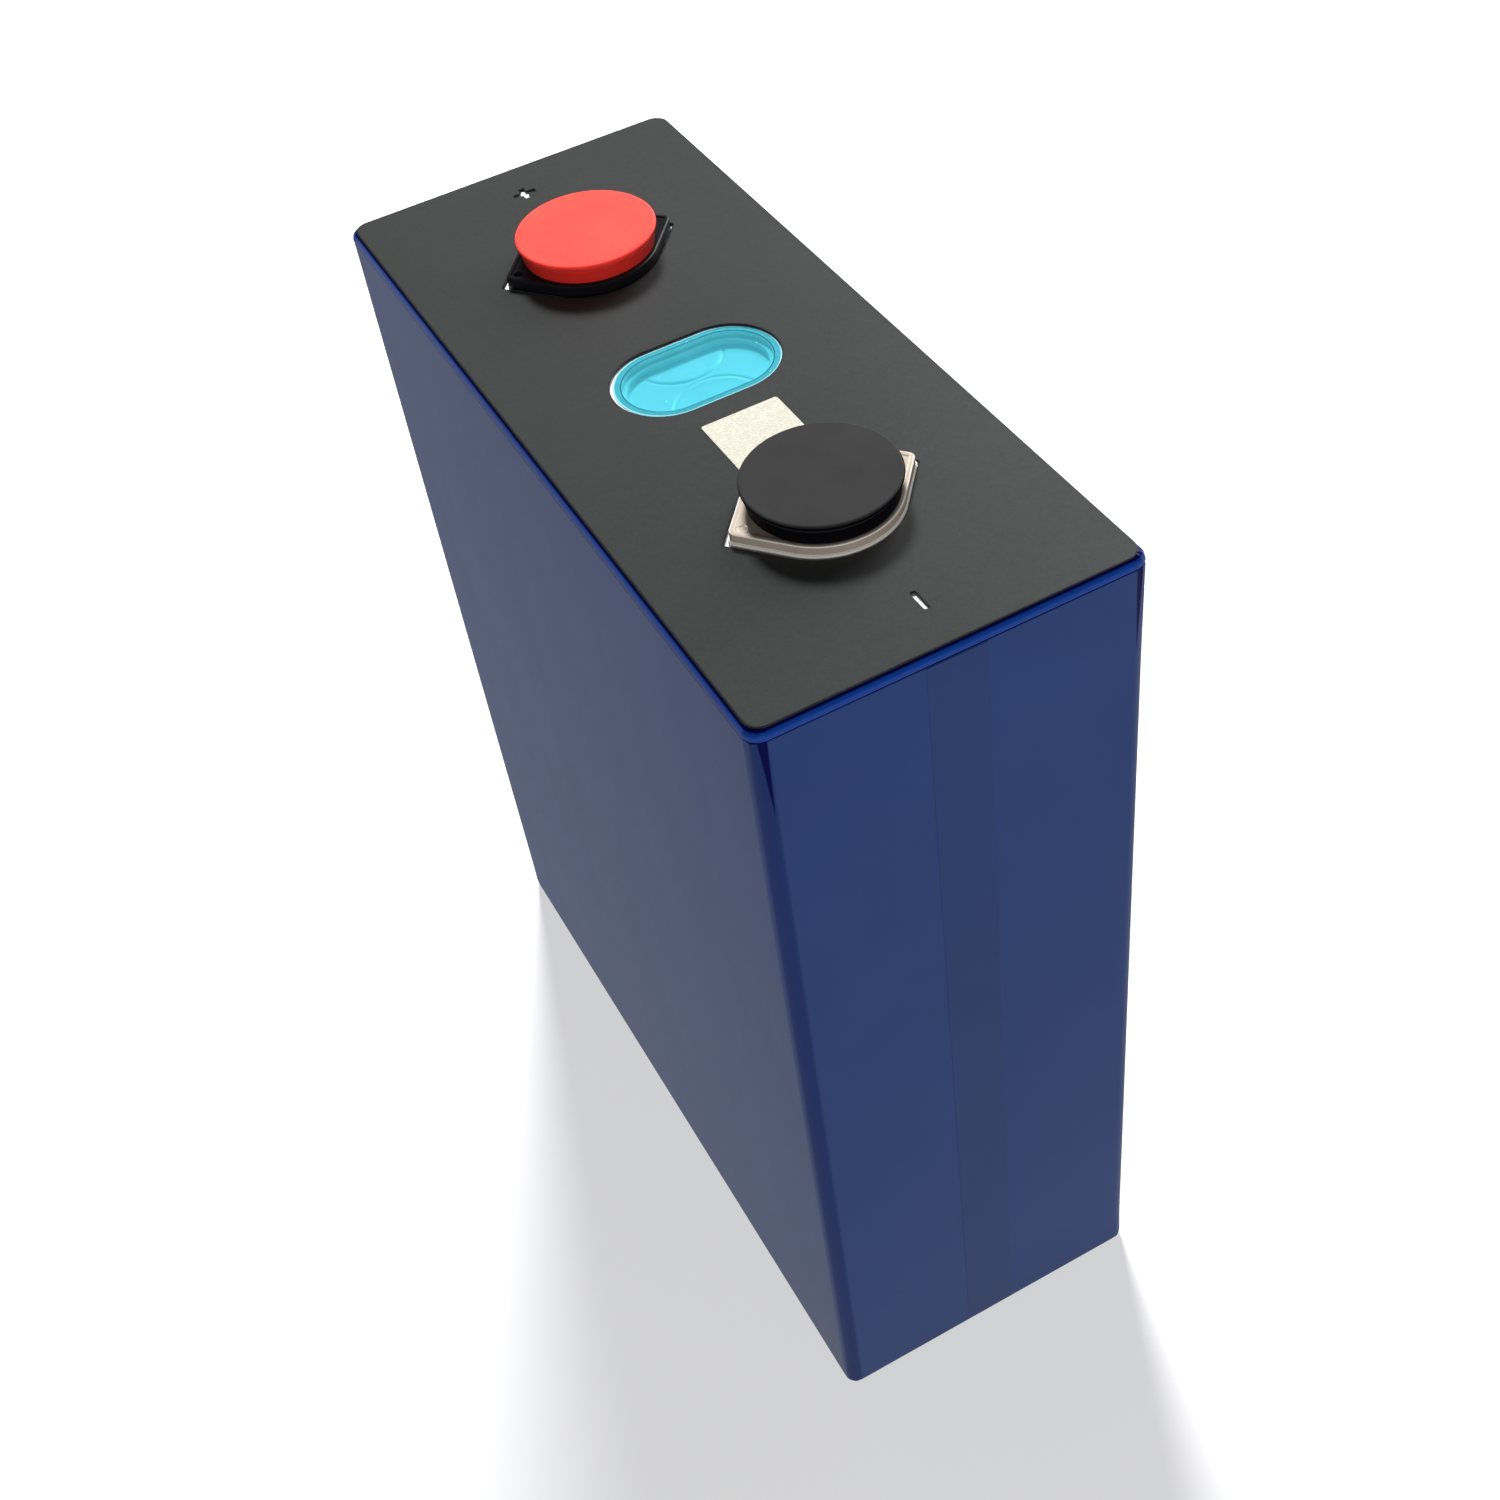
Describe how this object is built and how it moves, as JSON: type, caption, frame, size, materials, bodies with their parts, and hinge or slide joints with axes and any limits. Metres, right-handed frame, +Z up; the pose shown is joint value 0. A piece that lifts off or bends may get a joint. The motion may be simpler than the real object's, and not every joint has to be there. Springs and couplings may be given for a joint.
{
  "type": "prismatic battery cell",
  "caption": "Flat-sided rechargeable cell in blue film, with a vent and screw terminals under push-on red and black caps on its top.",
  "frame": {"origin": "centre of the underside", "axes": "+Z up; +X along the cell's length from the positive terminal to the negative one; +Y through its thickness, so -Y is the front large face"},
  "size_m": [0.1739, 0.0716, 0.211],
  "materials": {
    "blue_film": "gloss",
    "bare_aluminium": "satin",
    "black_sheet": "matte",
    "blue_sheet": "satin",
    "label_paper": "matte",
    "cyan_film": "gloss",
    "grey_moulding": "matte",
    "black_moulding": "matte",
    "beige_moulding": "matte",
    "seal_rubber": "matte",
    "plated_copper": "satin",
    "copper": "satin",
    "winding": "matte",
    "green_tape": "satin",
    "clear_bag": "satin",
    "red_plastic": "matte",
    "black_plastic": "matte"
  },
  "bodies": {
    "cell": {"film_wrap": "blue_film", "can": "bare_aluminium", "lid_plate": "bare_aluminium", "top_sheet": "black_sheet", "bottom_sheet": "blue_sheet", "code_label": "label_paper", "vent_film": "cyan_film", "vent_disc": "bare_aluminium", "vent_guard": "grey_moulding", "fill_plug": "seal_rubber", "fill_cap": "bare_aluminium", "jelly_roll_front": "winding", "jelly_roll_rear": "winding", "binding_tape": "green_tape", "roll_bag": "clear_bag", "bottom_tray": "grey_moulding", "positive_base": "black_moulding", "negative_base": "beige_moulding", "positive_pad": "bare_aluminium", "negative_pad": "bare_aluminium", "positive_pole": "bare_aluminium", "negative_pole": "plated_copper", "positive_seal": "seal_rubber", "negative_seal": "seal_rubber", "positive_lower_insulator": "grey_moulding", "negative_lower_insulator": "grey_moulding", "positive_connector": "bare_aluminium", "negative_connector": "copper", "positive_tabs": "bare_aluminium", "negative_tabs": "copper"},
    "red_cap": {"red_cap": "red_plastic"},
    "black_cap": {"black_cap": "black_plastic"}
  },
  "joints": [
    {"name": "red_cap_lift", "type": "slide", "parent": "cell", "child": "red_cap", "axis": [0, 0, 1], "range_m": [0, 0.04]},
    {"name": "black_cap_lift", "type": "slide", "parent": "cell", "child": "black_cap", "axis": [0, 0, 1], "range_m": [0, 0.04]}
  ]
}
